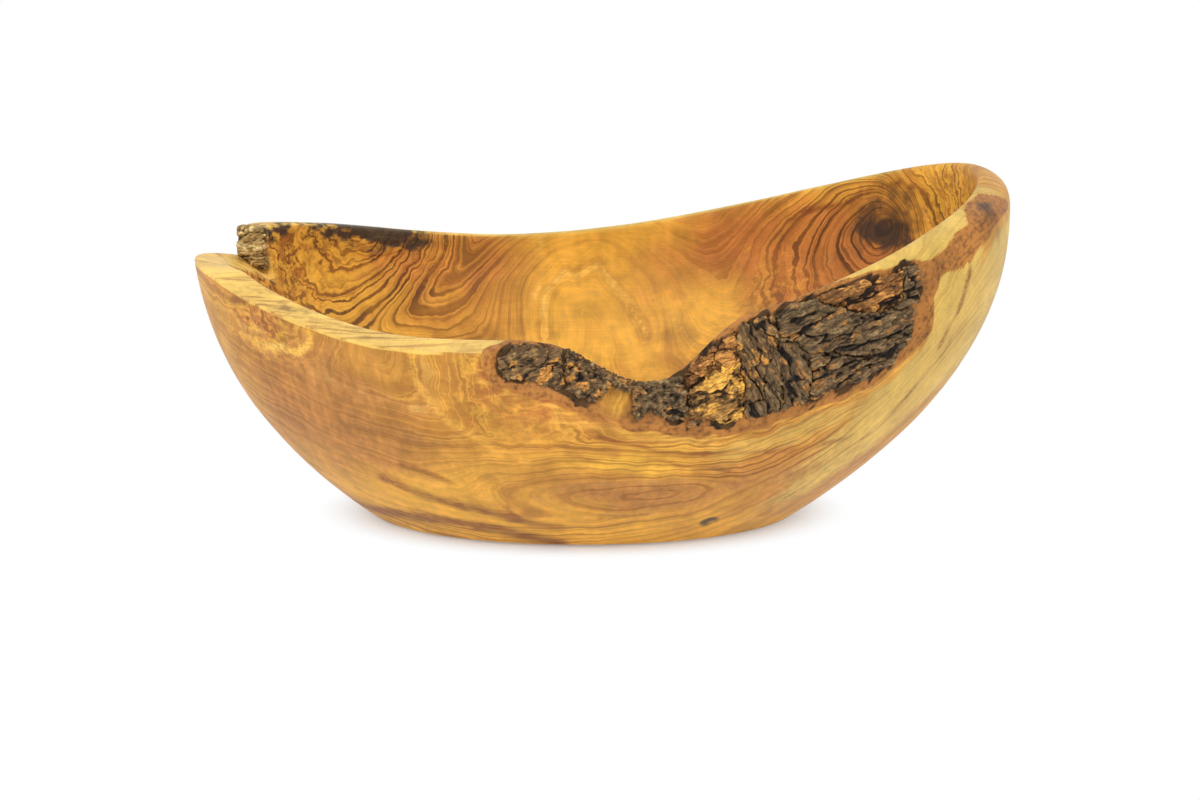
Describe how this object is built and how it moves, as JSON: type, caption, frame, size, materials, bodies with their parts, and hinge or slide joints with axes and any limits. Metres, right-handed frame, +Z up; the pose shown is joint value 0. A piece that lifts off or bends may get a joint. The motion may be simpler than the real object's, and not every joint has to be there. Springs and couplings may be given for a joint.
{
  "type": "wooden fruit bowl",
  "caption": "Rustic oval fruit bowl carved from one olive log, with a sloping natural brim and plates of bark left along its front edge.",
  "frame": {"origin": "centre of the flat oval foot, on the surface that the bowl stands on", "axes": "+X along the bowl's length towards its high end, -Y towards the front edge with the bark, +Z up"},
  "size_m": [0.2919, 0.1862, 0.1275],
  "materials": {
    "olive_wood": "oiled satin, strong brown figure on golden tan",
    "dark_bark": "rough, cracked, dry",
    "ochre_bark": "flaky, dry"
  },
  "bodies": {
    "root": {"bowl_body": "olive_wood", "bark_left_patch": "dark_bark", "bark_left_ridge": "dark_bark", "bark_dip_ridge": "dark_bark", "bark_hanging_tag": "dark_bark", "bark_dip_shoulder": "dark_bark", "bark_ochre_lower": "ochre_bark", "bark_ochre_upper": "ochre_bark", "bark_plate_upper_left": "dark_bark", "bark_plate_lower_left": "dark_bark", "bark_plate_middle": "dark_bark", "bark_plate_lower_right": "dark_bark", "bark_plate_large": "dark_bark", "bark_plate_upper_right": "ochre_bark", "bark_plate_end": "dark_bark", "bark_step_face": "ochre_bark", "bark_pocket": "dark_bark"}
  },
  "joints": []
}
